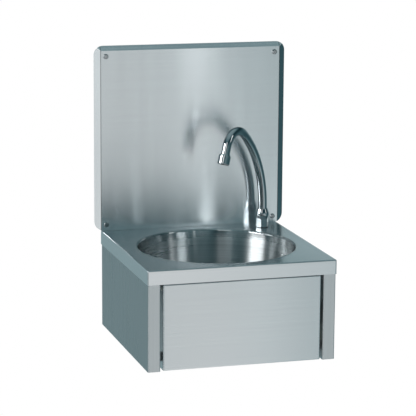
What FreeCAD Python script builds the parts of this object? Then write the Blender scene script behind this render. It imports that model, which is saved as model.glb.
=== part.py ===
import FreeCAD, Part
import os
from math import atan2, cos, hypot, pi, radians, sin, tan
from FreeCAD import Vector

# A wall-hung stainless steel hand wash basin with a splashback, a swan-neck spout and a
# front panel that the knee pushes in to open the water.
#
# Frame: +Z is up, +Y points at the wall and the wall plane is Y = 0. The origin is the
# middle of the four wall-fixing holes. All sizes are in millimetres.

# ---------------------------------------------------------------- driving sizes
# Folded sheet
sheet = 1.5                   # thickness of the folded sheet
bend = 2.5                    # outer radius of a fold
weld_gap = 0.05               # gap left at a welded and polished seam
over = 1.0                    # how far a cutting shape runs past what it cuts

# Basin body
basin_width = 400.0           # over the deck, left to right
basin_depth = 400.0           # from the wall to the front of the deck
body_height = 210.0           # from the deck down to the lower edge of the side panels
lip_height = 30.0             # fold at the front and the sides of the deck
deck_corner = 3.0             # upright corners of the deck
wall_holes_drop = 55.0        # from the deck down to the middle of the wall-fixing holes

# Bowl
bowl_radius = 166.0           # at the rim
bowl_front_margin = 26.0      # from the front of the deck to the rim
bowl_depth = 130.0            # down to where the floor starts
bowl_taper = 7.0              # slope of the wall from upright, in degrees
bowl_corner = 50.0            # radius between the wall and the floor
bowl_fall = 6.0               # drop of the floor towards the waste
bowl_sheet = 1.2
rim_land = 7.0                # flat ring of the bowl inside the deck's opening
rim_roll = 4.0                # rounding from that ring into the wall
recess_step = 3.5             # depth of the seat for the waste strainer
recess_round = 2.0            # rounding of that seat

# Side panels, each with a front column and a rear flange
column_width = 26.0           # width of the front column
column_return = 21.5          # depth of the column's inner side
column_lip = 13.5             # last fold of the column, which the panel's stop meets
rear_flange = 20.0            # fold that lies against the wall
panel_drop = 1.5              # gap between the side panels and the underside of the deck

# Wall rail
rail_height = 92.0
rail_top_flange = 22.0
rail_foot_flange = 15.0
rail_gap = 0.2                # between the rail and the rear flanges
wall_hole_radius = 4.5
wall_hole_inset = 40.0        # from the side of the deck to the holes
wall_hole_rise = 50.0         # hole to hole, up and down

# Splashback
splash_face_width = 402.0     # flat front face
splash_side_bevel = 13.6      # how far each bevelled side runs outwards
splash_face_height = 392.7    # flat front face, above the deck
splash_top_bevel = 10.3       # how far the bevelled top runs upwards
splash_stand = 8.0            # the face stands this far off the wall
splash_corner = 20.0          # rounding of the outer corners
splash_gap = 0.4              # between the deck and the splashback
mitre_slit = 0.7              # open seam where the top and side bevels meet
splash_screw_side = 11.5      # screw to the edge of the face
splash_screw_top = 12.2
splash_screw_foot = 13.5
splash_screw_radius = 2.2     # thread, which starts at the wall
splash_screw_neck = 1.9       # plain neck between the head and the thread
splash_screw_head = 5.6       # radius of the head
splash_screw_crown = 2.6      # height of the head
splash_screw_length = 38.0    # below the head
cross_length = 5.6            # cross recess in the head
cross_width = 1.0
cross_depth = 1.56
screw_clearance = 0.3         # of a screw in its hole, all round

# Knee panel and its pivot
slot_width = 5.5              # dark slot between the panel and each column
panel_top_gap = 1.0           # below the lip of the deck
panel_foot_gap = 1.0          # above the lower edge of the side panels
panel_return = 24.0           # depth of the panel's side flanges
panel_top_flange = 10.0
panel_foot_flange = 14.0
panel_corner = 2.0
pivot_setback = 14.0          # behind the face of the panel
pivot_drop = 9.0              # below the top of the panel
pin_radius = 3.0              # shoulder of the pivot pin
pin_thread = 2.5
pin_head_radius = 5.0
pin_head = 3.0                # thickness of the pin's head
pin_tail = 7.0                # thread behind the column's inner side
small_nut = 4.0               # nut of the pivot pins and of the bracket studs
small_nut_flats = 8.0
pin_end_play = 0.3            # between the pin's head and the bush
pin_key_flats = 3.0           # hexagon socket in the pin's head
pin_key = 1.8
bush_wall = 1.0
bush_collar_radius = 5.5
bush_collar = 1.5             # thickness of the bush's collar
bush_inside = 1.2             # how far the bush stands inside the panel
running_fit = 0.05            # of every turning or sliding fit, all round

# Stops of the knee panel
stop_rise = 25.0              # above the lower edge of the side panels
stop_height = 20.0
stop_reach = 18.0             # how far the stop passes behind the column's lip
stop_leg = 19.0               # leg that is welded to the panel's side flange
stop_back_gap = 1.3           # behind the panel's side flange, to clear the bend
bumper_radius = 4.5
bumper_stem = 2.0
bumper_head = 3.0             # radius of the bead behind the fold
bumper_tail = 1.5             # length of that bead
bumper_play = 0.1             # between the bead and the fold
bumper_gap = 0.3              # between the stop and the rubber at rest

# Push screw on the knee panel
push_bracket_width = 22.0
push_bracket_foot = 8.0
push_bracket_depth = 12.0
push_bracket_height = 24.0
push_screw_radius = 3.0
push_screw_reach = 29.0       # from the inside of the panel's face to the tip
push_nut = 4.5
push_nut_flats = 10.0
push_key_flats = 3.0          # hexagon socket in the screw's end
push_key = 3.0
push_gap = 0.3                # between the tip and the button at rest

# Push valve
valve_side_inset = 55.0       # from the side of the deck to the valve's axis
valve_drop = 85.0             # below the pivot; the lever arm of the knee panel
button_radius = 9.0
button_out = 14.0             # how far the button stands out at rest
button_in = 8.0               # guided length at rest
stem_radius = 4.0
stem_length = 26.0
nose_radius = 11.0
nose_free = 9.0               # thread in front of the bracket
nose_bore_depth = 24.0
nose_nut = 6.0
nose_nut_flats = 27.0
valve_radius = 17.0
valve_length = 52.0           # behind the bracket
stem_bore_depth = 24.0        # behind the bore of the nose
inlet_setback = 39.7          # from the front of the valve body to the inlet port
inlet_boss_radius = 10.0
inlet_boss = 3.0              # below the valve body
passage = 4.0                 # radius of the valve's outlet passage
inlet_passage = 5.0           # of its inlet and of the spout's base
tee_passage = 6.0             # of the mixing tee
tee_end_wall = 4.0
spring_wire = 0.6             # radius of the wire
spring_radius = 6.6           # of the coils' middle
spring_turns = 5
spring_seat = 0.15            # gap at each end of the spring

# Valve bracket
bracket_sheet = 2.0
bracket_reach = 26.0          # past the valve's axis, away from the side panel
bracket_height = 48.0
bracket_leg = 45.0            # leg along the side panel
stud_radius = 2.5
stud_length = 12.0
stud_spread = 28.0            # stud to stud, up and down
stud_setback = 25.0           # behind the bracket's plate

# Mixing tee and check valves
union_flats = 27.0
union_height = 11.0
union_overlap = 2.0           # of the union nut on the valve's inlet boss, from its end
tee_drop = 26.0               # from the valve's inlet boss to the middle of the tee
tee_radius = 11.0
tee_half = 33.0               # half of its length
inlet_spread = 44.0           # inlet to inlet
socket_radius = 13.0
socket_drop = 14.0            # from the middle of the tee to the end of a socket
check_flats = 24.0
check_hex = 9.0
inlet_thread_radius = 10.48   # half-inch pipe thread
inlet_thread = 15.0
inlet_bore = 7.0

# Hose and its end fittings
hose_radius = 4.5
hose_bore = 3.0
hose_thread_radius = 8.33     # three-eighths pipe thread
hose_thread = 11.0
hose_nut_flats = 19.0
hose_nut_over = 9.0           # nut over the thread
hose_nut_past = 6.0           # nut past the thread's end
ferrule_radius = 6.2
ferrule_collar = 2.0          # thickness of the ferrule's collar
ferrule_length = 26.0
hose_insert = 18.0            # how far the hose goes into its ferrule
hose_exit = 22.0              # straight out of the valve's ferrule before it turns
hose_out = 105.0              # from the valve's outlet to where it runs beside the bowl
hose_in = 85.0                # from there to the spout's axis
hose_side_gap = 20.0          # hose's middle to the inside of the side panel beside the bowl
hose_sag = 8.0                # below the valve's axis beside the bowl
hose_dip = 12.0               # lower still where it turns up to the spout
thread_fit = 0.05             # round a screw thread or a pressed joint

# Spout
spout_side_inset = 48.0       # from the side of the deck to the spout's axis
spout_wall_inset = 52.0       # from the wall to the spout's axis
spout_heading = 39.0          # of the spout at rest, from the left towards the front, in degrees
spout_seal = 1.0              # rubber between the base and the deck
spout_seal_rim = 0.8          # rubber past the base's flats
spout_base_flats = 24.0
spout_base_height = 19.5
spout_shank = 48.0            # below the deck's top
shank_play = 0.7              # of the shank in the deck's hole
socket_depth = 15.0           # bore in the base that the swivel sleeve turns in
collar_radius = 14.2
collar_height = 21.0
collar_foot = 2.2             # wall of the collar at its foot
collar_neck = 1.4             # wall of the collar at its top
collar_rise = 6.3             # up to its widest
collar_waist = 11.55         # up to where it starts to narrow
tube_radius = 9.5
tube_wall = 1.2
tube_rise = 50.0              # above the deck, where the tube starts to lean
lean_radius = 217.0           # long gentle bend of the tube
lean_angle = 50.0
hook_radius = 40.5            # tight bend over the top
hook_angle = 110.0
spout_tail = 40.0             # from the end of the tight bend to the outlet
sleeve_gap = 1.0              # sleeve to the floor of the base's bore
sleeve_shoulder = 1.0         # sleeve above the base
sleeve_spigot = 12.0          # sleeve inside the tube
sleeve_bore = 6.0
oring_section = 0.9           # radius of the ring's section
oring_groove = 2.1
oring_low = 3.5               # from the sleeve's lower end to the first ring
oring_pitch = 5.0
under_washer_radius = 14.5
under_washer = 2.0
spout_nut = 7.0
spout_nut_flats = 24.0

# Aerator
aerator_radius = 13.0
aerator_length = 21.0
aerator_socket = 8.0          # the tube goes this far into the housing
aerator_wall = 2.0
aerator_shoulder = 1.8        # how much smaller its upper end is
aerator_slope = 3.0           # length of that narrowing
insert_depth = 1.5            # the insert lies this far inside the outlet
insert_length = 8.0
jet_radius = 0.85
jet_pitch = 2.9

# Waste
waste_hole_radius = 27.0
strainer_radius = 35.0
strainer_sheet = 2.0
strainer_gap = 0.5            # strainer to the side of its seat
strainer_hole = 2.6
strainer_rings = ((12.0, 8), (19.5, 14))     # radius of a ring of holes, and its count
seal = 2.0                    # seal above and below the bowl's sheet
seal_inset = 1.5              # top seal inside the strainer's edge
waste_flange_radius = 36.0
waste_flange = 4.0
waste_cup_radius = 30.0
waste_cup = 16.0
waste_cone = 6.0
waste_tail_radius = 20.95     # inch-and-a-quarter pipe thread
waste_tail = 33.0
waste_wall = 3.0
waste_web = 4.0               # thickness of the web that holds the screw
waste_web_height = 15.0
waste_screw_radius = 3.0
waste_screw_length = 22.0
waste_screw_head = 6.0        # radius of its countersink
waste_screw_fit = 0.1         # of the head in the countersink
waste_slot_width = 1.2
waste_slot = 1.0              # depth of the slot

# ---------------------------------------------------------------- places worked out from them
X, Y, Z = Vector(1, 0, 0), Vector(0, 1, 0), Vector(0, 0, 1)
deck_z = wall_holes_drop
under_deck_z = deck_z - sheet
foot_z = deck_z - body_height
lip_foot_z = deck_z - lip_height
half_width = basin_width / 2
side_x = half_width - sheet                       # outside of the side panels
side_inner_x = side_x - sheet
front_y = -basin_depth + sheet                    # face of the columns and of the knee panel
side_top_z = under_deck_z - panel_drop
column_x = side_x - column_width                  # inner side of the column
column_back_y = front_y + column_return

bowl_y = -basin_depth + bowl_front_margin + bowl_radius
bowl_floor_radius = strainer_radius + strainer_gap
recess_z = deck_z - bowl_depth - bowl_fall - recess_step
bowl_under_z = recess_z - bowl_sheet

panel_half = column_x - slot_width
panel_top_z = lip_foot_z - panel_top_gap
panel_foot_z = foot_z + panel_foot_gap
panel_inner_y = front_y + sheet
panel_back_y = front_y + panel_return
pivot_y = front_y + pivot_setback
pivot_z = panel_top_z - pivot_drop
stop_z = foot_z + stop_rise
bumper_x = column_x + (bend + column_lip) / 2
stop_front_y = panel_back_y + stop_back_gap

valve_x = half_width - valve_side_inset
valve_z = pivot_z - valve_drop
push_tip_y = panel_inner_y + push_screw_reach
button_y = push_tip_y + push_gap
nose_y = button_y + button_out
bracket_y = nose_y + nose_free
valve_y = bracket_y + bracket_sheet
valve_end_y = valve_y + valve_length
hose_start_y = valve_end_y + hose_thread          # end of the valve's outlet thread
inlet_y = valve_y + inlet_setback
boss_z = valve_z - valve_radius - inlet_boss
tee_z = boss_z - tee_drop
socket_z = tee_z - socket_drop

spout_x = half_width - spout_side_inset
spout_y = -spout_wall_inset
spout_dir = Vector(-cos(radians(spout_heading)), -sin(radians(spout_heading)), 0)
spout_axis = Vector(spout_x, spout_y, deck_z)
base_top = spout_seal + spout_base_height         # above the deck
sleeve_foot = base_top - socket_depth + sleeve_gap
sleeve_top = base_top + sleeve_shoulder
shank_z = deck_z - spout_shank
seal_top_z = recess_z + seal
sealed_under_z = bowl_under_z - seal
screw_seat_z = seal_top_z + strainer_sheet
waste_screw_z = screw_seat_z - waste_screw_length


# ---------------------------------------------------------------- building blocks
def unit(vector):
    return Vector(vector).normalize()


def left_of(direction):
    return Vector(-direction.y, direction.x, 0)


def corner_arc(before, corner, after, radius, shift):
    """Ends and middle of the rounding at a corner, for a line moved sideways by shift to its left."""
    d_in, d_out = unit(corner - before), unit(after - corner)
    turn = atan2(d_in.x * d_out.y - d_in.y * d_out.x, d_in.dot(d_out))
    side = 1 if turn > 0 else -1
    if radius == 0:
        normal = left_of(d_in) + left_of(d_out)
        point = corner + normal * (shift / (1 + left_of(d_in).dot(left_of(d_out))))
        return point, None, point
    trim = radius * tan(abs(turn) / 2)
    start, end = corner - d_in * trim, corner + d_out * trim
    centre = start + left_of(d_in) * (side * radius)
    middle = centre + unit(corner - centre) * (radius - side * shift)
    return start + left_of(d_in) * shift, middle, end + left_of(d_out) * shift


def outline(points, radii, shift=0.0, closed=False):
    """Edges through flat points, with a tangent arc of the given radius at each corner."""
    flat = [Vector(a, b, 0) for a, b in points]
    count = len(flat)
    corners = []
    for i, point in enumerate(flat):
        if not closed and i in (0, count - 1):
            along = unit(flat[1] - flat[0]) if i == 0 else unit(flat[-1] - flat[-2])
            end = point + left_of(along) * shift
            corners.append((end, None, end))
        else:
            corners.append(corner_arc(flat[i - 1], point, flat[(i + 1) % count], radii[i], shift))
    edges = []
    for i, (start, middle, end) in enumerate(corners):
        if middle is not None:
            edges.append(Part.Arc(start, middle, end).toShape())
        following = corners[(i + 1) % count][0]
        if (closed or i < count - 1) and (following - end).Length > 1e-7:
            edges.append(Part.LineSegment(end, following).toShape())
    return edges


def laid_out(shape, u, v, origin=Vector(0, 0, 0)):
    """Turns a flat shape so that its first axis lies along u and its second along v."""
    w = u.cross(v)
    matrix = FreeCAD.Matrix(u.x, v.x, w.x, origin.x, u.y, v.y, w.y, origin.y, u.z, v.z, w.z, origin.z)
    return shape.transformed(matrix)


def face_of(edges):
    return Part.Face(Part.Wire(Part.__sortEdges__(edges)))


def strip(points, radii, thickness):
    """Flat section of a bent sheet, of this thickness to the left of the line."""
    near = outline(points, radii)
    far = outline(points, radii, thickness)
    ends = [Part.LineSegment(near[0].firstVertex(True).Point, far[0].firstVertex(True).Point).toShape(),
            Part.LineSegment(near[-1].lastVertex(True).Point, far[-1].lastVertex(True).Point).toShape()]
    return face_of(near + far + ends)


def folded(points, radii, thickness, u, v, run, origin=Vector(0, 0, 0)):
    """Folded sheet: its section laid out on u and v, and pushed out along run."""
    return laid_out(strip(points, radii, thickness), u, v, origin).extrude(run)


def placed(shape, base, direction):
    """Stands a shape that was made on +Z at the base point, along the direction."""
    shape.Placement = FreeCAD.Placement(base, FreeCAD.Rotation(Z, direction))
    return shape


def turned(points, base, direction=Z, radii=None):
    """Solid of revolution from its half section: points are (radius, distance along the axis)."""
    edges = outline(points, radii or [0] * len(points), closed=True)
    return placed(laid_out(face_of(edges), X, Z).revolve(Vector(0, 0, 0), Z, 360), base, direction)


def rod(radius, base, direction, length):
    return Part.makeCylinder(radius, length, base, direction)


def pipe(outer, inner, base, direction, length):
    return rod(outer, base, direction, length).cut(rod(inner, base, direction, length))


def hexagon(flats, base, direction, height, chamfer=0.8):
    """Hexagonal bar with turned corners at both ends."""
    reach = flats / 2 / cos(pi / 6)
    corners = [Vector(reach * cos(i * pi / 3), reach * sin(i * pi / 3), 0) for i in range(7)]
    bar = Part.Face(Part.makePolygon(corners)).extrude(Z * height)
    limit = turned([(0, 0), (reach - chamfer, 0), (reach, chamfer), (reach, height - chamfer),
                    (reach - chamfer, height), (0, height)], Vector(0, 0, 0))
    return placed(bar.common(limit), base, direction)


def nut(flats, bore, base, direction, height):
    return hexagon(flats, base, direction, height).cut(rod(bore, base, direction, height))


def block(low, high):
    size = high - low
    return Part.makeBox(size.x, size.y, size.z, low)


def crowned(low, high, axis, crown, corner, edge):
    """Block with rounded edges along the axis and a rounded rim where it reaches the crown."""
    body = block(low, high)
    runs = [(e, unit(e.lastVertex().Point - e.firstVertex().Point)) for e in body.Edges]
    body = body.makeFillet(corner, [e for e, run in runs if abs(run.dot(axis)) > 0.99])
    rim = [e for e in body.Edges if all(abs(v.Point.dot(axis) - crown) < 1e-6 for v in e.Vertexes)]
    return body.makeFillet(edge, rim)


def mirrored(shape):
    """The same piece on the other side of the basin."""
    return shape.mirror(Vector(0, 0, 0), X)


def pair(shape):
    return Part.makeCompound([shape, mirrored(shape)])


def save(name, shape):
    shape.exportStep("parts/" + name + ".step")


# ---------------------------------------------------------------- basin body
def deck_top():
    """Deck with its lip folded down at the front and the sides, open towards the wall."""
    past_wall = 10.0
    outer = crowned(Vector(-half_width, -basin_depth, lip_foot_z), Vector(half_width, past_wall, deck_z),
                    Z, deck_z, deck_corner, bend)
    inner = crowned(Vector(-side_x, front_y, lip_foot_z - past_wall),
                    Vector(side_x, 2 * past_wall, under_deck_z),
                    Z, under_deck_z, deck_corner - sheet, bend - sheet)
    behind_wall = block(Vector(-basin_width, 0, foot_z), Vector(basin_width, 3 * past_wall, deck_z + sheet))
    deck = outer.cut(inner).cut(behind_wall)
    through = body_height + sheet
    bowl_hole = rod(bowl_radius + rim_land + weld_gap, Vector(0, bowl_y, foot_z), Z, through)
    spout_hole = rod(hose_thread_radius + shank_play, Vector(spout_x, spout_y, foot_z), Z, through)
    return deck.cut(bowl_hole).cut(spout_hole)


def bowl():
    """Round bowl: rim, tapered wall, sloping floor and the seat for the waste."""
    wall_foot = bowl_radius - tan(radians(bowl_taper)) * bowl_depth
    floor_z = -bowl_depth - bowl_fall
    line = [(bowl_radius + rim_land, 0), (bowl_radius, 0), (wall_foot, -bowl_depth),
            (bowl_floor_radius, floor_z), (bowl_floor_radius, floor_z - recess_step),
            (waste_hole_radius, floor_z - recess_step)]
    radii = [0, rim_roll, bowl_corner, recess_round, recess_round - bowl_sheet, 0]
    section = laid_out(strip(line, radii, bowl_sheet), X, Z)
    return placed(section.revolve(Vector(0, 0, 0), Z, 360), Vector(0, bowl_y, deck_z), Z)


def side_panel():
    """Right side panel: rear flange, side, front column, its inner side and its last fold."""
    line = [(column_x + column_lip, column_back_y), (column_x, column_back_y), (column_x, front_y),
            (side_x, front_y), (side_x, 0), (side_x - rear_flange, 0)]
    panel = folded(line, [0, bend, bend, bend, bend, 0], sheet, X, Y, Z * (side_top_z - foot_z),
                   Z * foot_z)
    pin_hole = rod(pin_thread + thread_fit, Vector(column_x - sheet, pivot_y, pivot_z), X, 3 * sheet)
    bumper_hole = rod(bumper_stem + thread_fit, Vector(bumper_x, column_back_y - 2 * sheet, stop_z),
                      Y, 3 * sheet)
    return panel.cut(pin_hole).cut(bumper_hole)


def wall_rail():
    """Channel between the side panels that carries the deck and takes the wall screws."""
    half = side_x - rear_flange - rail_gap
    foot = under_deck_z - rail_height
    line = [(-rail_foot_flange, foot), (0, foot), (0, under_deck_z), (-rail_top_flange, under_deck_z)]
    rail = folded(line, [0, bend, bend, 0], sheet, Y, Z, X * (2 * half), X * -half)
    hole_x = half_width - wall_hole_inset
    for x in (-hole_x, hole_x):
        for z in (-wall_hole_rise / 2, wall_hole_rise / 2):
            rail = rail.cut(rod(wall_hole_radius, Vector(x, -2 * sheet, z), Y, 4 * sheet))
    return rail


# ---------------------------------------------------------------- splashback
def frustum(front, back, foot):
    """Solid between two upright rectangles: each is (y, half width, top)."""
    wires = []
    for y, half, top in (front, back):
        corners = [(-half, foot), (half, foot), (half, top), (-half, top), (-half, foot)]
        wires.append(Part.makePolygon([Vector(x, y, z) for x, z in corners]))
    return Part.makeLoft(wires, True, True)


def splash_screw_places():
    x = splash_face_width / 2 - splash_screw_side
    high = deck_z + splash_face_height - splash_screw_top
    low = deck_z + splash_screw_foot
    return [(sx * x, z) for z in (low, high) for sx in (-1, 1)]


def splashback():
    """Tray with bevelled sides and top, and a flange at its foot that stands on the deck."""
    face_half = splash_face_width / 2
    face_top = deck_z + splash_face_height
    foot = deck_z + splash_gap
    outer_half, outer_top = face_half + splash_side_bevel, face_top + splash_top_bevel
    outer = frustum((-splash_stand, face_half, face_top), (0, outer_half, outer_top), foot)

    # The inside follows the outside, one sheet further in, square to each bevel.
    side_slope, top_slope = splash_side_bevel / splash_stand, splash_top_bevel / splash_stand
    side_in, top_in = sheet * hypot(1, side_slope), sheet * hypot(1, top_slope)
    past = sheet
    inner = frustum((-splash_stand + sheet, face_half + side_slope * sheet - side_in,
                     face_top + top_slope * sheet - top_in),
                    (past, outer_half + side_slope * past - side_in, outer_top + top_slope * past - top_in),
                    foot + sheet)

    corners = [(-outer_half, foot), (outer_half, foot), (outer_half, outer_top), (-outer_half, outer_top)]
    edges = outline(corners, [splash_corner] * 4, closed=True)
    trimmed = laid_out(face_of(edges), X, Z, Y * -splash_stand * 2).extrude(Y * splash_stand * 3)
    tray = outer.common(trimmed).cut(inner)

    slit_run = hypot(splash_side_bevel, splash_top_bevel)
    slit_angle = atan2(splash_top_bevel, splash_side_bevel) * 180 / pi
    slit = block(Vector(0, -splash_stand - sheet, -mitre_slit / 2),
                 Vector(slit_run, sheet, mitre_slit / 2))
    slit.Placement = FreeCAD.Placement(Vector(face_half, 0, face_top), FreeCAD.Rotation(Y, -slit_angle))
    tray = tray.cut(slit).cut(mirrored(slit))
    for x, z in splash_screw_places():
        tray = tray.cut(rod(splash_screw_radius + screw_clearance,
                            Vector(x, -2 * splash_stand, z), Y, 2 * splash_stand))
    return tray


def splashback_screws():
    """Pan-headed wall screws with a cross recess."""
    point = 2 * splash_screw_radius
    crown = splash_screw_crown
    screws = []
    for x, z in splash_screw_places():
        under_head = Vector(x, -splash_stand, z)
        line = [(0, -crown), (splash_screw_head, -crown), (splash_screw_head, 0), (splash_screw_neck, 0),
                (splash_screw_neck, splash_stand), (splash_screw_radius, splash_stand),
                (splash_screw_radius, splash_screw_length - point), (0, splash_screw_length)]
        body = turned(line, under_head, Y, [0, crown * 0.8, 0, 0, 0, 0, 0, 0])
        top = under_head - Y * crown
        for wide, tall in ((cross_length, cross_width), (cross_width, cross_length)):
            arm = Vector(wide / 2, 0, tall / 2)
            body = body.cut(block(top - arm - Y * over, top + arm + Y * cross_depth))
        screws.append(body)
    return Part.makeCompound(screws)


# ---------------------------------------------------------------- knee panel
def knee_panel():
    """Front panel: a tray with side flanges for the pivots and narrower flanges above and below."""
    past = 5.0
    outer = crowned(Vector(-panel_half, front_y, panel_foot_z), Vector(panel_half, panel_back_y, panel_top_z),
                    Y, front_y, panel_corner, bend)
    inner = crowned(Vector(-panel_half + sheet, panel_inner_y, panel_foot_z + sheet),
                    Vector(panel_half - sheet, panel_back_y + past, panel_top_z - sheet),
                    Y, panel_inner_y, panel_corner - sheet, bend - sheet)
    panel = outer.cut(inner)
    clear_half = panel_half - 2 * sheet
    panel = panel.cut(block(Vector(-clear_half, front_y + panel_top_flange, panel_top_z - 2 * sheet),
                            Vector(clear_half, panel_back_y + past, panel_top_z + sheet)))
    panel = panel.cut(block(Vector(-clear_half, front_y + panel_foot_flange, panel_foot_z - sheet),
                            Vector(clear_half, panel_back_y + past, panel_foot_z + 2 * sheet)))
    hole = pin_radius + running_fit + bush_wall + thread_fit
    return panel.cut(rod(hole, Vector(-half_width, pivot_y, pivot_z), X, basin_width))


def hinge_bushes():
    """Plastic bushes in the panel's side flanges, with a collar in the slot."""
    bore = pin_radius + running_fit
    barrel = bore + bush_wall
    inner_end = -sheet - bush_inside
    line = [(bore, inner_end), (barrel, inner_end), (barrel, 0), (bush_collar_radius, 0),
            (bush_collar_radius, bush_collar), (bore, bush_collar)]
    return pair(turned(line, Vector(panel_half, pivot_y, pivot_z), X, [0, 0, 0, 0.3, 0.3, 0]))


def hinge_pins():
    """Shoulder screws that stand in the columns and carry the knee panel."""
    shoulder = column_x - panel_half + sheet + bush_inside + pin_end_play
    end = shoulder + sheet + pin_tail
    line = [(0, -pin_head), (pin_head_radius, -pin_head), (pin_head_radius, 0), (pin_radius, 0),
            (pin_radius, shoulder), (pin_thread, shoulder), (pin_thread, end), (0, end)]
    start = Vector(column_x - shoulder, pivot_y, pivot_z)
    pin = turned(line, start, X, [0, 0.8, 0, 0, 0, 0, 0.6, 0])
    key = hexagon(pin_key_flats, start - X * (pin_head + over), X, over + pin_key, 0.1)
    return pair(pin.cut(key))


def hinge_pin_nuts():
    start = Vector(column_x + sheet, pivot_y, pivot_z)
    return pair(nut(small_nut_flats, pin_thread + thread_fit, start, X, small_nut))


def stop_bumpers():
    """Rubber buttons in the last fold of the columns, which the stops rest on."""
    head = stop_front_y - bumper_gap - column_back_y
    bead = -sheet - bumper_play
    line = [(0, bead - bumper_tail), (bumper_head, bead - bumper_tail), (bumper_head, bead),
            (bumper_stem, bead), (bumper_stem, 0), (bumper_radius, 0), (bumper_radius, head), (0, head)]
    return pair(turned(line, Vector(bumper_x, column_back_y, stop_z), Y, [0, 0.8, 0, 0, 0, 0, 1.2, 0]))


def stop_tabs():
    """Angles welded inside the panel's side flanges. Each passes behind the column's last fold."""
    leg_x = panel_half - 2 * sheet
    back_y = stop_front_y + sheet
    line = [(column_x + stop_reach - bend, back_y), (leg_x, back_y), (leg_x, back_y - stop_leg)]
    return pair(folded(line, [0, bend, 0], sheet, X, Y, Z * stop_height, Z * (stop_z - stop_height / 2)))


def push_bracket():
    """Hat section welded to the inside of the panel, level with the valve."""
    half = push_bracket_width / 2
    foot_y = panel_inner_y + sheet
    top_y = panel_inner_y + push_bracket_depth
    line = [(valve_x + half + push_bracket_foot, foot_y), (valve_x + half, foot_y), (valve_x + half, top_y),
            (valve_x - half, top_y), (valve_x - half, foot_y), (valve_x - half - push_bracket_foot, foot_y)]
    inner = bend - sheet
    hat = folded(line, [0, inner, bend, bend, inner, 0], sheet, X, Y, Z * push_bracket_height,
                 Z * (valve_z - push_bracket_height / 2))
    return hat.cut(rod(push_screw_radius + thread_fit, Vector(valve_x, panel_inner_y, valve_z),
                       Y, push_bracket_depth + sheet))


def push_screw():
    """Set screw with a domed tip that meets the valve's button."""
    start_y = panel_inner_y + sheet
    length = push_tip_y - start_y
    line = [(0, 0), (push_screw_radius, 0), (push_screw_radius, length), (0, length)]
    screw = turned(line, Vector(valve_x, start_y, valve_z), Y, [0, 0.5, push_screw_radius * 0.9, 0])
    key = hexagon(push_key_flats, Vector(valve_x, start_y - over, valve_z), Y, over + push_key, 0.1)
    return screw.cut(key)


def push_screw_nut():
    start = Vector(valve_x, panel_inner_y + push_bracket_depth, valve_z)
    return nut(push_nut_flats, push_screw_radius + thread_fit, start, Y, push_nut)


# ---------------------------------------------------------------- push valve and its supply
def valve_body():
    """Valve with a threaded nose for the bracket, an inlet below and an outlet at the back."""
    nose = bracket_sheet + nose_free
    line = [(0, -nose), (nose_radius, -nose), (nose_radius, 0), (valve_radius, 0),
            (valve_radius, valve_length), (hose_thread_radius, valve_length),
            (hose_thread_radius, valve_length + hose_thread), (0, valve_length + hose_thread)]
    front = Vector(valve_x, valve_y, valve_z)
    body = turned(line, front, Y, [0, 1.0, 0, 1.5, 4.0, 0, 0.8, 0])
    boss_start = Vector(valve_x, inlet_y, valve_z)
    body = body.fuse(rod(inlet_boss_radius, boss_start, -Z, valve_z - boss_z))
    nose_start = Vector(valve_x, nose_y - over, valve_z)
    body = body.cut(rod(button_radius + running_fit, nose_start, Y, nose_bore_depth + over))
    body = body.cut(rod(stem_radius + running_fit, nose_start, Y, nose_bore_depth + stem_bore_depth + over))
    body = body.cut(rod(passage, boss_start, Y, hose_start_y - inlet_y + over))
    return body.cut(rod(inlet_passage, boss_start, -Z, valve_z - boss_z + over)).removeSplitter()


def valve_lock_nut():
    start = Vector(valve_x, bracket_y - nose_nut, valve_z)
    return nut(nose_nut_flats, nose_radius + thread_fit, start, Y, nose_nut)


def valve_button():
    """Round push button with its stem."""
    head = button_out + button_in
    line = [(0, 0), (button_radius, 0), (button_radius, head), (stem_radius, head),
            (stem_radius, head + stem_length), (0, head + stem_length)]
    return turned(line, Vector(valve_x, button_y, valve_z), Y, [0, 1.5, 0.4, 0, 0.8, 0])


def valve_spring():
    """Return spring round the stem, inside the nose."""
    start_y = button_y + button_out + button_in + spring_seat + spring_wire
    end_y = nose_y + nose_bore_depth - spring_seat - spring_wire
    coil = Part.makeHelix((end_y - start_y) / spring_turns, end_y - start_y, spring_radius)
    section = Part.Wire(Part.makeCircle(spring_wire, Vector(spring_radius, 0, 0), Y))
    spring = Part.Wire(coil).makePipeShell([section], True, True)
    return placed(spring, Vector(valve_x, start_y, valve_z), Y)


def valve_bracket():
    """Angle that holds the valve by its nose and is fixed to the right side panel."""
    line = [(valve_x - bracket_reach, bracket_y), (side_inner_x, bracket_y),
            (side_inner_x, bracket_y + bracket_leg)]
    foot = valve_z - bracket_height / 2
    angle = folded(line, [0, bend, 0], bracket_sheet, X, Y, Z * bracket_height, Z * foot)
    angle = angle.cut(rod(nose_radius + screw_clearance, Vector(valve_x, bracket_y - over, valve_z),
                          Y, bracket_sheet + 2 * over))
    for y, z in stud_places():
        hole = rod(stud_radius + screw_clearance, Vector(side_inner_x + over, y, z),
                   -X, bracket_sheet + 2 * over)
        angle = angle.cut(hole)
    return angle


def stud_places():
    y = bracket_y + stud_setback
    return [(y, valve_z + side * stud_spread / 2) for side in (-1, 1)]


def bracket_studs():
    """Studs welded to the inside of the side panel."""
    line = [(0, 0), (stud_radius, 0), (stud_radius, stud_length), (0, stud_length)]
    return Part.makeCompound([turned(line, Vector(side_inner_x, y, z), -X, [0, 0, 0.5, 0])
                              for y, z in stud_places()])


def bracket_nuts():
    x = side_inner_x - bracket_sheet
    return Part.makeCompound([nut(small_nut_flats, stud_radius + thread_fit, Vector(x, y, z), -X, small_nut)
                              for y, z in stud_places()])


def union_nut():
    """Nut that joins the tee to the valve's inlet."""
    top = Vector(valve_x, inlet_y, boss_z + union_overlap)
    return nut(union_flats, inlet_boss_radius + thread_fit, top, -Z, union_height)


def inlet_places():
    return [inlet_y - inlet_spread / 2, inlet_y + inlet_spread / 2]


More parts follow.
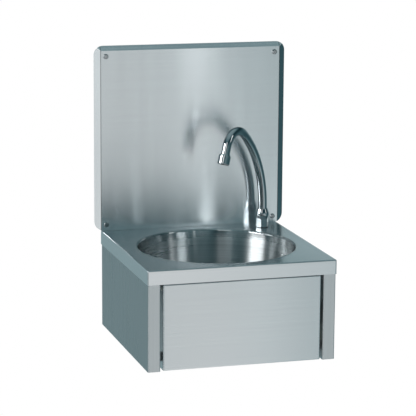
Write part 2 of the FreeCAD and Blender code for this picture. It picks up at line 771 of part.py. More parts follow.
def mixing_tee():
    """Manifold below the valve, with a socket for each check valve."""
    start = Vector(valve_x, inlet_y - tee_half, tee_z)
    bar = turned([(0, 0), (tee_radius, 0), (tee_radius, 2 * tee_half), (0, 2 * tee_half)],
                 start, Y, [0, 1.5, 1.5, 0])
    bore = rod(tee_passage, start + Y * tee_end_wall, Y, 2 * (tee_half - tee_end_wall))
    bar = bar.fuse(rod(inlet_boss_radius, Vector(valve_x, inlet_y, boss_z), -Z, boss_z - tee_z))
    bore = bore.fuse(rod(inlet_passage, Vector(valve_x, inlet_y, boss_z + over), -Z, boss_z + over - tee_z))
    for y in inlet_places():
        middle = Vector(valve_x, y, tee_z)
        bar = bar.fuse(rod(socket_radius, middle, -Z, socket_drop))
        bore = bore.fuse(rod(tee_passage, middle, -Z, socket_drop + over))
    return bar.cut(bore).removeSplitter()


def check_valve(y):
    """Non-return valve with a hexagon and a male pipe thread for the supply."""
    top = Vector(valve_x, y, socket_z)
    body = hexagon(check_flats, top, -Z, check_hex)
    tail = turned([(0, 0), (inlet_thread_radius, 0), (inlet_thread_radius, inlet_thread), (0, inlet_thread)],
                  top - Z * check_hex, -Z, [0, 0, 1.0, 0])
    return body.fuse(tail).cut(rod(inlet_bore, top + Z * over, -Z, check_hex + inlet_thread + 2 * over))


def hose_end(thread_end, direction):
    """Nut and ferrule on a male thread; the direction points from the thread to the hose."""
    collar = hose_thread_radius - 2 * thread_fit
    nut_start = thread_end - direction * hose_nut_over
    seat = hose_nut_over + ferrule_collar + thread_fit
    body = hexagon(hose_nut_flats, nut_start, direction, hose_nut_over + hose_nut_past)
    body = body.cut(rod(hose_thread_radius + thread_fit, nut_start, direction, seat))
    body = body.cut(rod(ferrule_radius + thread_fit, nut_start, direction, hose_nut_over + hose_nut_past))
    bore = hose_radius + thread_fit
    insert_start = ferrule_length - hose_insert
    line = [(hose_bore, 0), (collar, 0), (collar, ferrule_collar), (ferrule_radius, ferrule_collar),
            (ferrule_radius, ferrule_length), (bore, ferrule_length), (bore, insert_start),
            (hose_bore, insert_start)]
    ferrule = turned(line, thread_end, direction, [0, 0, 0, 0, 0.8, 0, 0, 0])
    return body, ferrule


valve_outlet = Vector(valve_x, hose_start_y, valve_z)
spout_inlet = Vector(spout_x, spout_y, shank_z)
hose_start = ferrule_length - hose_insert         # from a thread's end to the hose's end

# Route of the hose: out of the valve, past the bowl close to the side panel and up to the spout.
hose_points = [valve_outlet + Y * hose_start,
               valve_outlet + Y * (ferrule_length + hose_exit),
               Vector(side_inner_x - hose_side_gap, valve_outlet.y + hose_out, valve_z - hose_sag),
               Vector(side_inner_x - hose_side_gap, spout_y - hose_in, valve_z - hose_sag),
               Vector(spout_x, spout_y, valve_z - hose_sag - hose_dip),
               spout_inlet - Z * hose_start]
hose_bends = [0, 60.0, 80.0, 60.0, 60.0, 0]


def route(points, bends):
    """Straight runs joined by tangent arcs in space."""
    edges, last = [], points[0]
    for before, corner, after, radius in zip(points, points[1:], points[2:], bends[1:]):
        d_in, d_out = unit(corner - before), unit(after - corner)
        turn = d_in.getAngle(d_out)
        trim = radius * tan(turn / 2)
        start, end = corner - d_in * trim, corner + d_out * trim
        to_centre = unit(d_out - d_in)
        middle = corner + to_centre * (radius / cos(turn / 2) - radius)
        edges.append(Part.LineSegment(last, start).toShape())
        edges.append(Part.Arc(start, middle, end).toShape())
        last = end
    edges.append(Part.LineSegment(last, points[-1]).toShape())
    return Part.Wire(edges)


def swept_tube(path, start, direction, outer, inner):
    """Tube of even wall along a path of lines and arcs."""
    rings = [Part.Face(Part.Wire(Part.makeCircle(r, start, direction))) for r in (outer, inner)]
    return path.makePipe(rings[0].cut(rings[1]).Faces[0])


def supply_hose():
    path = route(hose_points, hose_bends)
    hose = swept_tube(path, hose_points[0], Y, hose_radius, hose_bore)
    expected = pi * (hose_radius ** 2 - hose_bore ** 2) * path.Length
    print("hose length", round(path.Length, 1), "volume over section times length",
          round(hose.Volume / expected, 4), "bend radii", hose_bends[1:-1])
    return hose


# ---------------------------------------------------------------- spout
def spout_base():
    """Hexagonal base with a threaded shank through the deck and the bore for the swivel."""
    seat = spout_axis + Z * spout_seal
    body = hexagon(spout_base_flats, seat, Z, spout_base_height, 1.2)
    shank = turned([(0, 0), (hose_thread_radius, 0), (hose_thread_radius, spout_shank + spout_seal),
                    (0, spout_shank + spout_seal)], seat, -Z, [0, 0, 0.8, 0])
    top = spout_axis + Z * base_top
    body = body.fuse(shank).cut(rod(tube_radius + running_fit, top + Z * over, -Z, socket_depth + over))
    return body.cut(rod(inlet_passage, top, -Z, base_top + spout_shank + over)).removeSplitter()


def spout_base_seal():
    outer = spout_base_flats / 2 + spout_seal_rim
    return pipe(outer, hose_thread_radius + thread_fit, spout_axis, Z, spout_seal)


def spout_under_washer():
    start = Vector(spout_x, spout_y, under_deck_z)
    return pipe(under_washer_radius, hose_thread_radius + thread_fit, start, -Z, under_washer)


def spout_lock_nut():
    start = Vector(spout_x, spout_y, under_deck_z - under_washer)
    return nut(spout_nut_flats, hose_thread_radius + thread_fit, start, -Z, spout_nut)


def spout_collar():
    """Ball-shaped collar on the base, which the tube turns in."""
    bore = tube_radius + running_fit
    line = [(bore, 0), (bore + collar_foot, 0), (collar_radius, collar_rise), (collar_radius, collar_waist),
            (bore + collar_neck, collar_height), (bore, collar_height)]
    return turned(line, spout_axis + Z * base_top, Z, [0, 0.6, 5.0, 9.0, 0.7, 0])


def spout_line():
    """Middle line of the tube in its own plane: (distance from the axis, height above the deck)."""
    lean, hook = radians(lean_angle), radians(hook_angle)
    lean_end = Vector(lean_radius * (1 - cos(lean)), tube_rise + lean_radius * sin(lean), 0)
    lean_mid = Vector(lean_radius * (1 - cos(lean / 2)), tube_rise + lean_radius * sin(lean / 2), 0)
    hook_centre = lean_end + Vector(cos(lean), -sin(lean), 0) * hook_radius

    def on_hook(angle):
        return hook_centre - Vector(cos(lean + angle), -sin(lean + angle), 0) * hook_radius

    hook_end = on_hook(hook)
    fall = Vector(sin(lean + hook), cos(lean + hook), 0)
    return lean_mid, lean_end, on_hook(hook / 2), hook_end, fall


def in_spout_plane(point):
    return spout_axis + spout_dir * point.x + Z * point.y


def spout_outlet():
    """Point at the middle of the outlet, and the direction that the water leaves in."""
    hook_end, fall = spout_line()[3:]
    direction = spout_dir * fall.x + Z * fall.y
    return in_spout_plane(hook_end) + direction * spout_tail, direction


def spout_tube():
    lean_mid, lean_end, hook_mid, hook_end, fall = spout_line()
    foot = Vector(0, sleeve_top, 0)
    rise = Vector(0, tube_rise, 0)
    tube_end = hook_end + fall * (spout_tail - aerator_length + aerator_socket)
    stations = [in_spout_plane(p) for p in (foot, rise, lean_mid, lean_end, hook_mid, hook_end, tube_end)]
    path = Part.Wire([Part.LineSegment(stations[0], stations[1]).toShape(),
                      Part.Arc(stations[1], stations[2], stations[3]).toShape(),
                      Part.Arc(stations[3], stations[4], stations[5]).toShape(),
                      Part.LineSegment(stations[5], stations[6]).toShape()])
    return swept_tube(path, stations[0], Z, tube_radius, tube_radius - tube_wall)


def spout_sleeve():
    """Swivel sleeve: it turns in the base, carries the sealing rings and is pressed into the tube."""
    spigot = tube_radius - tube_wall - thread_fit
    height = sleeve_top - sleeve_foot
    line = [(sleeve_bore, 0), (tube_radius, 0), (tube_radius, height), (spigot, height),
            (spigot, height + sleeve_spigot), (sleeve_bore, height + sleeve_spigot)]
    sleeve = turned(line, spout_axis + Z * sleeve_foot, Z, [0, 0.6, 0, 0, 0.6, 0])
    groove_floor = tube_radius - 2 * oring_section
    for level in oring_levels():
        start = spout_axis + Z * (level - oring_groove / 2)
        sleeve = sleeve.cut(pipe(tube_radius + over, groove_floor, start, Z, oring_groove))
    return sleeve


def oring_levels():
    return [sleeve_foot + oring_low + i * oring_pitch for i in range(2)]


def spout_orings():
    rings = [Part.makeTorus(tube_radius - oring_section, oring_section, spout_axis + Z * level, Z)
             for level in oring_levels()]
    return Part.makeCompound(rings)


def aerator_housing():
    """Outlet sleeve on the end of the tube."""
    outlet, direction = spout_outlet()
    tube_bore = tube_radius + thread_fit
    cavity = aerator_radius - aerator_wall
    line = [(tube_bore, 0), (aerator_radius - aerator_shoulder, 0), (aerator_radius, aerator_slope),
            (aerator_radius, aerator_length), (cavity, aerator_length), (cavity, aerator_socket),
            (tube_bore, aerator_socket)]
    start = outlet - direction * aerator_length
    return turned(line, start, direction, [0, 0.6, 1.5, 0.8, 0.4, 0, 0])


def aerator_insert():
    """Disc with a grid of jets, held inside the outlet."""
    outlet, direction = spout_outlet()
    radius = aerator_radius - aerator_wall - thread_fit
    disc = rod(radius, Vector(0, 0, 0), Z, insert_length)
    reach = int(radius / jet_pitch) + 1
    for row in range(-reach, reach + 1):
        for column in range(-reach, reach + 1):
            x = (column + row / 2) * jet_pitch
            y = row * jet_pitch * sin(pi / 3)
            if hypot(x, y) < radius - jet_pitch:
                disc = disc.cut(rod(jet_radius, Vector(x, y, -over), Z, insert_length + 2 * over))
    return placed(disc, outlet - direction * (insert_length + insert_depth), direction)


# ---------------------------------------------------------------- waste
def waste_place(z):
    return Vector(0, bowl_y, z)


def waste_top_seal():
    return pipe(strainer_radius - seal_inset, waste_hole_radius, waste_place(recess_z), Z, seal)


def waste_strainer():
    """Round strainer with a rounded edge, rings of holes and a countersink for its screw."""
    line = [(0, 0), (strainer_radius, 0), (strainer_radius, strainer_sheet), (0, strainer_sheet)]
    plate = turned(line, waste_place(seal_top_z), Z, [0, 0, strainer_sheet * 0.9, 0])
    for radius, count in strainer_rings:
        for i in range(count):
            angle = 2 * pi * i / count
            spot = waste_place(seal_top_z - over) + Vector(radius * cos(angle), radius * sin(angle), 0)
            plate = plate.cut(rod(strainer_hole, spot, Z, strainer_sheet + 2 * over))
    top = strainer_sheet + over
    sink = turned([(0, 0), (waste_screw_radius + thread_fit, 0), (waste_screw_head, strainer_sheet),
                   (waste_screw_head, top), (0, top)], waste_place(seal_top_z))
    return plate.cut(sink)


def waste_screw():
    """Countersunk screw that pulls the waste together, with a slot."""
    line = [(0, 0), (waste_screw_head - waste_screw_fit, 0), (waste_screw_radius, strainer_sheet),
            (waste_screw_radius, waste_screw_length), (0, waste_screw_length)]
    screw = turned(line, waste_place(screw_seat_z), -Z, [0, 0, 0, 0.8, 0])
    slot = block(Vector(-waste_screw_head, bowl_y - waste_slot_width / 2, screw_seat_z - waste_slot),
                 Vector(waste_screw_head, bowl_y + waste_slot_width / 2, screw_seat_z + over))
    return screw.cut(slot)


def waste_under_seal():
    return pipe(waste_flange_radius, waste_hole_radius, waste_place(bowl_under_z), -Z, seal)


def waste_body():
    """Cup below the bowl with a web for the screw and a threaded tail for the trap."""
    cup_foot = waste_flange + waste_cup
    tail_top = cup_foot + waste_cone
    end = tail_top + waste_tail
    bore = waste_tail_radius - waste_wall
    cup_bore = waste_cup_radius - waste_wall
    line = [(cup_bore, 0), (waste_flange_radius, 0), (waste_flange_radius, waste_flange),
            (waste_cup_radius, waste_flange), (waste_cup_radius, cup_foot), (waste_tail_radius, tail_top),
            (waste_tail_radius, end), (bore, end), (bore, tail_top - waste_wall / 2),
            (cup_bore, cup_foot - waste_wall / 2)]
    body = turned(line, waste_place(sealed_under_z), -Z, [0, 1.0, 1.0, 0, 3.0, 3.0, 0.8, 0, 2.0, 2.0])
    web_top = sealed_under_z - waste_flange
    web_half = waste_cup_radius - waste_wall / 2
    web = block(Vector(-web_half, bowl_y - waste_web / 2, web_top - waste_web_height),
                Vector(web_half, bowl_y + waste_web / 2, web_top))
    hub = rod(2 * waste_screw_radius, waste_place(web_top), -Z, waste_web_height)
    screw_hole = rod(waste_screw_radius + thread_fit, waste_place(sealed_under_z), -Z,
                     sealed_under_z - waste_screw_z + over)
    return body.fuse(web).fuse(hub).cut(screw_hole).removeSplitter()


# ---------------------------------------------------------------- export
valve_hose_nut, valve_ferrule = hose_end(valve_outlet, Y)
spout_hose_nut, spout_ferrule = hose_end(spout_inlet, -Z)
right_panel = side_panel()
front_inlet_y, rear_inlet_y = inlet_places()

pieces = {
    "deck_top": deck_top(),
    "bowl": bowl(),
    "right_side_panel": right_panel,
    "left_side_panel": mirrored(right_panel),
    "wall_rail": wall_rail(),
    "splashback": splashback(),
    "splashback_screws": splashback_screws(),
    "knee_panel": knee_panel(),
    "hinge_bushes": hinge_bushes(),
    "hinge_pins": hinge_pins(),
    "hinge_pin_nuts": hinge_pin_nuts(),
    "stop_bumpers": stop_bumpers(),
    "stop_tabs": stop_tabs(),
    "push_bracket": push_bracket(),
    "push_screw": push_screw(),
    "push_screw_nut": push_screw_nut(),
    "valve_bracket": valve_bracket(),
    "bracket_studs": bracket_studs(),
    "bracket_nuts": bracket_nuts(),
    "valve_body": valve_body(),
    "valve_lock_nut": valve_lock_nut(),
    "valve_button": valve_button(),
    "valve_spring": valve_spring(),
    "union_nut": union_nut(),
    "mixing_tee": mixing_tee(),
    "cold_check_valve": check_valve(front_inlet_y),
    "hot_check_valve": check_valve(rear_inlet_y),
    "supply_hose": supply_hose(),
    "hose_nuts": Part.makeCompound([valve_hose_nut, spout_hose_nut]),
    "hose_ferrules": Part.makeCompound([valve_ferrule, spout_ferrule]),
    "spout_base": spout_base(),
    "spout_base_seal": spout_base_seal(),
    "spout_under_washer": spout_under_washer(),
    "spout_lock_nut": spout_lock_nut(),
    "spout_collar": spout_collar(),
    "spout_tube": spout_tube(),
    "spout_sleeve": spout_sleeve(),
    "spout_orings": spout_orings(),
    "aerator_housing": aerator_housing(),
    "aerator_insert": aerator_insert(),
    "waste_top_seal": waste_top_seal(),
    "waste_strainer": waste_strainer(),
    "waste_screw": waste_screw(),
    "waste_under_seal": waste_under_seal(),
    "waste_body": waste_body(),
}

os.makedirs("parts", exist_ok=True)
for piece_name, piece in pieces.items():
    save(piece_name, piece)
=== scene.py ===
import math
import bpy
from mathutils import Matrix, Vector


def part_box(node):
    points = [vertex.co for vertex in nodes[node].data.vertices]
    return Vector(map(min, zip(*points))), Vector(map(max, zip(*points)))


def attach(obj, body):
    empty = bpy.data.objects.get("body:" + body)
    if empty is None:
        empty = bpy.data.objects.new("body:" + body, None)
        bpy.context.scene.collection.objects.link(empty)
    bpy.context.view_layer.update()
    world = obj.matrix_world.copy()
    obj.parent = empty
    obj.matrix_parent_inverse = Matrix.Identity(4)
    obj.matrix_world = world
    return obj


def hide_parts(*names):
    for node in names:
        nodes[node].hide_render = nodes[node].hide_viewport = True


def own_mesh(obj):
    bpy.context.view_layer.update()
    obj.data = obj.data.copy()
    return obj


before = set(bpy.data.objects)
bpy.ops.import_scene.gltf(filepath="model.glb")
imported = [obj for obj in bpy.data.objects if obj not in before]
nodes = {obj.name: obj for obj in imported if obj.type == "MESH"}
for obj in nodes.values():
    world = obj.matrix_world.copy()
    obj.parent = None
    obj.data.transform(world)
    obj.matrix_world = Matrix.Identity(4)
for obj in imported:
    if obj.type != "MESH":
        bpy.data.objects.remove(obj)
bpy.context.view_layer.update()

# Looks of a knee-operated stainless steel hand wash basin. Lengths are in metres, in the
# frame of the solids: +Z is up and the wall is the plane Y = 0.

# ---------------------------------------------------------------- places read from the solids
BEVEL_WIDTH = 0.0136         # from the splashback's edge to the fold of its side
bowl_low, bowl_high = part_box("bowl")
bowl_middle = (bowl_low + bowl_high) / 2
FOLD_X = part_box("splashback")[1].x - BEVEL_WIDTH


# ---------------------------------------------------------------- finishes as expressions
class Value:
    """A number, colour or vector inside a finish. Arithmetic on it adds Math nodes."""

    def __init__(self, finish, socket):
        self.finish = finish
        self.socket = socket

    def math(self, operation, *rest):
        return self.finish.node("ShaderNodeMath", {"operation": operation},
                                dict(enumerate((self, *rest))))

    def from_left(self, operation, left):
        return self.finish.node("ShaderNodeMath", {"operation": operation}, {0: left, 1: self})

    def __add__(self, other):
        return self.math("ADD", other)

    def __sub__(self, other):
        return self.math("SUBTRACT", other)

    def __mul__(self, other):
        return self.math("MULTIPLY", other)

    def __truediv__(self, other):
        return self.math("DIVIDE", other)

    def __pow__(self, other):
        return self.math("POWER", other)

    def __neg__(self):
        return self.math("MULTIPLY", -1.0)

    def __rsub__(self, left):
        return self.from_left("SUBTRACT", left)

    def __rtruediv__(self, left):
        return self.from_left("DIVIDE", left)

    __radd__ = __add__
    __rmul__ = __mul__

    def size(self):
        """The number without its sign."""
        return self.math("ABSOLUTE")

    def clamped(self, low=0.0, high=1.0):
        return self.math("MAXIMUM", low).math("MINIMUM", high)


class Finish:
    """Nodes of a material, or of the room round the basin, added one by one."""

    def __init__(self, owner):
        self.owner = owner
        owner.use_nodes = True
        self.tree = owner.node_tree
        self.tree.nodes.clear()

    def node(self, kind, settings=None, inputs=None, output=0):
        made = self.tree.nodes.new(kind)
        for key, value in (settings or {}).items():
            if key == "stops":
                ramp = made.color_ramp.elements
                while len(ramp) < len(value):
                    ramp.new(1.0)
                for element, (position, level) in zip(ramp, value):
                    element.position = position
                    element.color = rgba(level, level, level)
            else:
                setattr(made, key, value)
        for key, value in (inputs or {}).items():
            if isinstance(value, Value):
                self.tree.links.new(value.socket, made.inputs[key])
            else:
                made.inputs[key].default_value = value
        return Value(self, made.outputs[output]) if made.outputs else None

    def place(self):
        """Position on the piece, in metres."""
        return self.node("ShaderNodeTexCoord", output="Object")

    def parts_of(self, vector):
        return [self.node("ShaderNodeSeparateXYZ", None, {0: vector}, i) for i in range(3)]

    def vector(self, x, y, z):
        return self.node("ShaderNodeCombineXYZ", None, {0: x, 1: y, 2: z})

    def noise(self, vector, scale=1.0, detail=2.0, roughness=0.5):
        return self.node("ShaderNodeTexNoise", None,
                         {"Vector": vector, "Scale": scale, "Detail": detail, "Roughness": roughness})

    def mixed(self, factor, first, second):
        """Colour between two colours."""
        return self.node("ShaderNodeMix", {"data_type": "RGBA"}, {0: factor, 6: first, 7: second}, 2)

    def bump(self, height, depth):
        return self.node("ShaderNodeBump", None,
                         {"Height": height, "Strength": 1.0, "Distance": depth})

    def done(self, **sockets):
        """Ends the finish with its shader."""
        named = {key.replace("_", " ").title(): value for key, value in sockets.items()}
        shader = self.node("ShaderNodeBsdfPrincipled", None, named)
        self.node("ShaderNodeOutputMaterial", None, {"Surface": shader})
        return self.owner


def new_finish(name):
    return Finish(bpy.data.materials.new(name))


def rgba(red, green, blue):
    return (red, green, blue, 1.0)


def shaded(colour, brightness=1.0):
    """A colour made darker or brighter."""
    return rgba(*(c * brightness for c in colour))


def dress(material, *names):
    for name in names:
        node = nodes[name]
        if not node.material_slots:
            node.data.materials.append(material)
        for slot in node.material_slots:
            slot.material = material


# ---------------------------------------------------------------- steel finishes
NOISE_TILT = (0.61, 0.47, 0.83)              # in radians, so that its grid lies along no line
FINE_LINES, BROAD_STREAKS = 1500.0, 220.0    # to a metre, across the brushing
LINE_DEPTH = 0.000006
DARK_LINE, BRIGHT_LINE = 0.88, 1.32          # brightness of the sheet's tint
DARK_TURN, BRIGHT_TURN = 0.80, 1.12          # the same for the bowl
# painted highlight on the left bevel and painted shade in the folds of the splashback
BRIGHT_BEVEL, PAINTED_FOLD_SHADE = 1.30, 0.42
SMOOTHEST, ROUGHEST = 0.03, 0.9
REFLECTION_TOP, REFLECTION_FADE = 0.24, 0.20           # height where the painted reflection bands start, and their fade
REFLECTION_MIDDLE, REFLECTION_HALF = 0.005, 0.10       # across the splashback, where the painted light is strongest
PAINTED_FOLD_HALF, PAINTED_FOLD_FADE = 0.0004, 0.0009      # of the painted dark line of shade in a fold
BEVEL_SHARP = 900.0                          # one over the width in which the bevel's light begins
BEVEL_FOOT, BEVEL_RISE = 0.10, 3.5           # height where it begins, and its gain in a metre
RIM_RADIUS, RIM_SHARP = 0.1635, 600.0        # where the bowl's polished rim begins
ROUND_STRETCH = 0.0002                       # of the bowl's lines, along their round


def lines(finish, x, y, z):
    """Height of brushing lines: fine ones and broad streaks. The coordinates are already
    stretched. Only the streaks go into a bump, because lines finer than a pixel make patterns
    of their own there."""
    place = finish.vector(x, y, z)
    fine, streak = (finish.node("ShaderNodeMapping", None,
                                {"Vector": place, "Rotation": NOISE_TILT, "Scale": (scale,) * 3})
                    for scale in (FINE_LINES, BROAD_STREAKS))
    return finish.noise(fine, detail=2.0), finish.noise(streak, detail=0.4)


def brushed(name, colour, stretch, roughness, rotation, depth=LINE_DEPTH, anisotropic=1.0,
            painted_light=None, folds=None):
    """Sheet with straight brushing lines. stretch shortens the axis that the lines run along.
    rotation turns the highlight across the lines, from the level direction of the surface."""
    finish = new_finish(name)
    place = finish.place()
    x, y, z = finish.parts_of(place)
    fine, streak = lines(finish, x * stretch[0], y * stretch[1], z * stretch[2])
    cloud = finish.noise(place, scale=6.0, detail=3.0)
    shade = (fine * 0.40 + streak * 0.40 + cloud * 0.30 - 0.05).clamped()
    # painted light: the splashback's painted reflection and brightening are added to the tone here
    if painted_light:
        shade = painted_light(finish, x, z, shade)
    tint = finish.mixed(shade.clamped(0.0, 2.0) * 0.5,
                        shaded(colour, DARK_LINE), shaded(colour, BRIGHT_LINE))
    # painted highlight on the left bevel and painted shade along the folds
    if folds:
        line, side = folds(x, z)
        bevelled = finish.mixed(side, tint, shaded(colour, BRIGHT_BEVEL))
        tint = finish.mixed(line, bevelled, shaded(colour, PAINTED_FOLD_SHADE))
    wear = roughness - 0.055 + 0.05 * cloud + 0.03 * streak + 0.03 * fine
    return finish.done(base_color=tint, metallic=1.0, roughness=wear.clamped(SMOOTHEST, ROUGHEST),
                       anisotropic=anisotropic, anisotropic_rotation=rotation,
                       normal=finish.bump(streak, depth))


def painted_wall_reflection(finish, x, z, shade):
    """Painted reflection low on the splashback: tall bright and dark bands, and painted light that
    brightens its lower part, most near the middle.
    """
    band = finish.noise(finish.vector(x * 30.0, 0.0, z * 2.0), detail=2.0)
    low = ((REFLECTION_TOP - z) / REFLECTION_FADE).clamped()
    middle = (1.0 - ((x - REFLECTION_MIDDLE) / REFLECTION_HALF).size()).clamped()
    return shade + (band - 0.5) * (0.5 + 0.9 * low) + low * (0.5 + middle)


def wall_folds(x, z):
    """Painted shade in the folds of the splashback's sides, and a painted highlight on its left
    bevel, which gets brighter upwards."""
    line = 1.0 - ((x.size() - FOLD_X).size() - PAINTED_FOLD_HALF) / PAINTED_FOLD_FADE
    side = (-x - FOLD_X) * BEVEL_SHARP
    return line.clamped() * 0.9, side.clamped() * ((z - BEVEL_FOOT) * BEVEL_RISE).clamped() * 0.7


def turned(name, colour, centre, roughness):
    """Bowl with brushing lines that run round its axis and a polished rim."""
    finish = new_finish(name)
    x, y, z = finish.parts_of(finish.place())
    x, y = x - centre.x, y - centre.y
    radius = (x * x + y * y).math("SQRT")
    across = radius + z
    fine, streak = lines(finish, x / radius * ROUND_STRETCH, y / radius * ROUND_STRETCH, across)
    cloud = finish.noise(finish.place(), scale=9.0, detail=3.0)
    shade = (fine * 0.9 + streak * 0.9 - 0.4).clamped()
    tint = finish.mixed(shade, shaded(colour, DARK_TURN), shaded(colour, BRIGHT_TURN))
    rim = ((radius - RIM_RADIUS) * RIM_SHARP).clamped()
    wear = roughness - 0.05 + 0.08 * cloud + 0.04 * streak - 0.11 * rim
    return finish.done(base_color=tint, metallic=1.0, roughness=wear.clamped(SMOOTHEST, ROUGHEST),
                       anisotropic=1.0, anisotropic_rotation=ACROSS_LEVEL,
                       normal=finish.bump(streak, LINE_DEPTH))


def plated(name, colour, roughness, smear=0.05, depth=0.0):
    """Polished or plated metal with faint wipe marks."""
    finish = new_finish(name)
    place = finish.place()
    smudge = finish.noise(place, scale=55.0, detail=4.0, roughness=0.6)
    tint = finish.mixed(smudge, shaded(colour, 0.94), shaded(colour))
    sockets = {"base_color": tint, "metallic": 1.0,
               "roughness": (roughness + smear * (smudge - 0.4)).clamped(0.02, 1.0)}
    if depth:
        sockets["normal"] = finish.bump(finish.noise(place, scale=900.0, detail=3.0), depth)
    return finish.done(**sockets)


GRAIN_DEPTH = 0.00002
MOTTLE = 0.12                # how far the colour of rubber and plastic varies


def moulded(name, colour, roughness):
    """Rubber or plastic with a fine matt grain."""
    finish = new_finish(name)
    place = finish.place()
    grain = finish.noise(place, scale=2600.0, detail=2.0)
    patch = finish.noise(place, scale=120.0, detail=3.0)
    tint = finish.mixed(patch, shaded(colour, 1 - MOTTLE), shaded(colour, 1 + MOTTLE))
    return finish.done(base_color=tint, metallic=0.0,
                       roughness=(roughness + 0.15 * (patch - 0.5)).clamped(),
                       normal=finish.bump(grain, GRAIN_DEPTH))


STEEL = (0.66, 0.69, 0.705)
# painted shade: a darker copy of the steel, for the side panels
SHADED_PANEL_STEEL = (0.58, 0.60, 0.61)
DECK_STEEL = (0.60, 0.63, 0.645)
# painted shade: a darker copy of the steel, for the bowl
SHADED_BOWL_METAL = (0.54, 0.57, 0.58)
MILL = (0.46, 0.475, 0.49)
ALONG_X = (0.004, 1.0, 1.0)
ALONG_Z = (1.0, 1.0, 0.004)
ACROSS_LEVEL = 0.25          # the highlight stands upright on a wall with level lines
ACROSS_UPRIGHT = 0.0

# the splashback carries a painted reflection, painted shade in its folds and a painted highlight on
# its left bevel
dress(brushed("splash_sheet", STEEL, ALONG_X, 0.21, ACROSS_LEVEL,
              painted_light=painted_wall_reflection, folds=wall_folds), "splashback")
dress(brushed("knee_sheet", STEEL, ALONG_X, 0.26, ACROSS_LEVEL), "knee_panel")
dress(brushed("deck_sheet", DECK_STEEL, ALONG_X, 0.22, ACROSS_LEVEL, anisotropic=0.5), "deck_top")
# painted shade: the side panels take the darker copy of the steel
dress(brushed("sheet_upright", SHADED_PANEL_STEEL, ALONG_Z, 0.28, ACROSS_UPRIGHT, depth=0.000004),
      "left_side_panel", "right_side_panel")
# painted shade: the bowl takes the darker copy of the steel
dress(turned("bowl_turned", SHADED_BOWL_METAL, bowl_middle, 0.27), "bowl")
dress(brushed("mill_level", MILL, ALONG_X, 0.42, ACROSS_LEVEL),
      "wall_rail", "push_bracket", "stop_tabs")
dress(brushed("mill_upright", MILL, ALONG_Z, 0.42, ACROSS_UPRIGHT),
      "valve_bracket", "spout_under_washer")
chrome = plated("bright_chrome", (0.50, 0.525, 0.54), 0.04)
screw_steel = plated("plain_screw_steel", (0.50, 0.52, 0.53), 0.14, smear=0.08)
brass = plated("machined_brass", (0.72, 0.55, 0.27), 0.28, smear=0.12, depth=0.00001)
waste_plating = plated("dull_plating", (0.66, 0.67, 0.69), 0.26, smear=0.12)
hose_wire = plated("hose_wire", (0.58, 0.59, 0.60), 0.30, smear=0.1)
spring_wire = plated("spring_wire", (0.40, 0.41, 0.42), 0.30, smear=0.1)
black_rubber = moulded("black_rubber", (0.022, 0.022, 0.023), 0.6)

dress(chrome, "spout_base", "spout_collar", "spout_tube", "aerator_housing", "waste_strainer",
      "valve_button")
# painted shade: a darker copy of the screw steel, which stands in for the dark reflection round the
# splashback's screw heads
dress(plated("painted_dark_screw_steel", (0.33, 0.35, 0.36), 0.14, smear=0.08), "splashback_screws")
dress(screw_steel, "hinge_pins", "hinge_pin_nuts", "bracket_studs", "bracket_nuts",
      "push_screw", "push_screw_nut", "waste_screw")
dress(brass, "valve_body", "valve_lock_nut", "mixing_tee", "union_nut", "cold_check_valve",
      "hot_check_valve", "spout_sleeve", "spout_lock_nut")
dress(waste_plating, "waste_body")
dress(black_rubber, "stop_bumpers", "spout_base_seal", "spout_orings", "waste_top_seal",
      "waste_under_seal")
dress(plated("nickel_plating", (0.70, 0.69, 0.66), 0.20, smear=0.1), "hose_nuts", "hose_ferrules")
dress(moulded("bush_plastic", (0.72, 0.72, 0.66), 0.5), "hinge_bushes")
dress(moulded("jet_plastic", (0.13, 0.14, 0.15), 0.45), "aerator_insert")


# ---------------------------------------------------------------- pieces made of rings of points
def ring(heart, across, other, radius, sides):
    """Closed ring of points round its heart."""
    return [heart + (across * math.cos(a) + other * math.sin(a)) * radius
            for a in (math.tau * k / sides for k in range(sides))]


def lofted(name, strands, material, body):
    """Piece of one or more strands, each a row of closed rings of points."""
    points, faces = [], []
    for rings in strands:
        first, count = len(points), len(rings[0])
        last = first + (len(rings) - 1) * count
        for ring_points in rings:
            points.extend(ring_points)
        for row in range(first, last, count):
            faces.extend((row + k, row + (k + 1) % count,
                          row + (k + 1) % count + count, row + k + count) for k in range(count))
        faces += [tuple(reversed(range(first, first + count))), tuple(range(last, last + count))]
    mesh = bpy.data.meshes.new(name)
    mesh.from_pydata(points, [], faces)
    mesh.shade_smooth()
    mesh.materials.append(material)
    made = bpy.data.objects.new(name, mesh)
    bpy.context.scene.collection.objects.link(made)
    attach(made, body)
    return made


# ---------------------------------------------------------------- braided hose
# The route's points, the same as the solid's: out of the valve, past the bowl, up to the spout.
# The fourth and fifth are moved by 10 mm and 8 mm, so that the smooth line bends no tighter than
# about three and a half diameters.
HOSE_POINTS = [(0.145, -0.2717, -0.070), (0.145, -0.2317, -0.070), (0.177, -0.1747, -0.078),
               (0.177, -0.147, -0.078), (0.152, -0.052, -0.098), (0.152, -0.052, -0.001)]
HOSE_STEPS = 60              # of the smooth line from one point to the next
HOSE_RADIUS = 0.0045
CORE_RADIUS = 0.0037
CORE_SIDES = 20
BANDS = 8                    # bands of wire each way round
WIRES = (-1, 0, 1)           # wires side by side in a band
WIRE_HIGH, WIRE_WIDE = 0.00016, 0.00031      # half the height and width of a wire
WIRE_APART = 2.1             # from wire to wire, in half widths
WEAVE = 0.0002               # how far a band rises and falls as it goes over two and under two


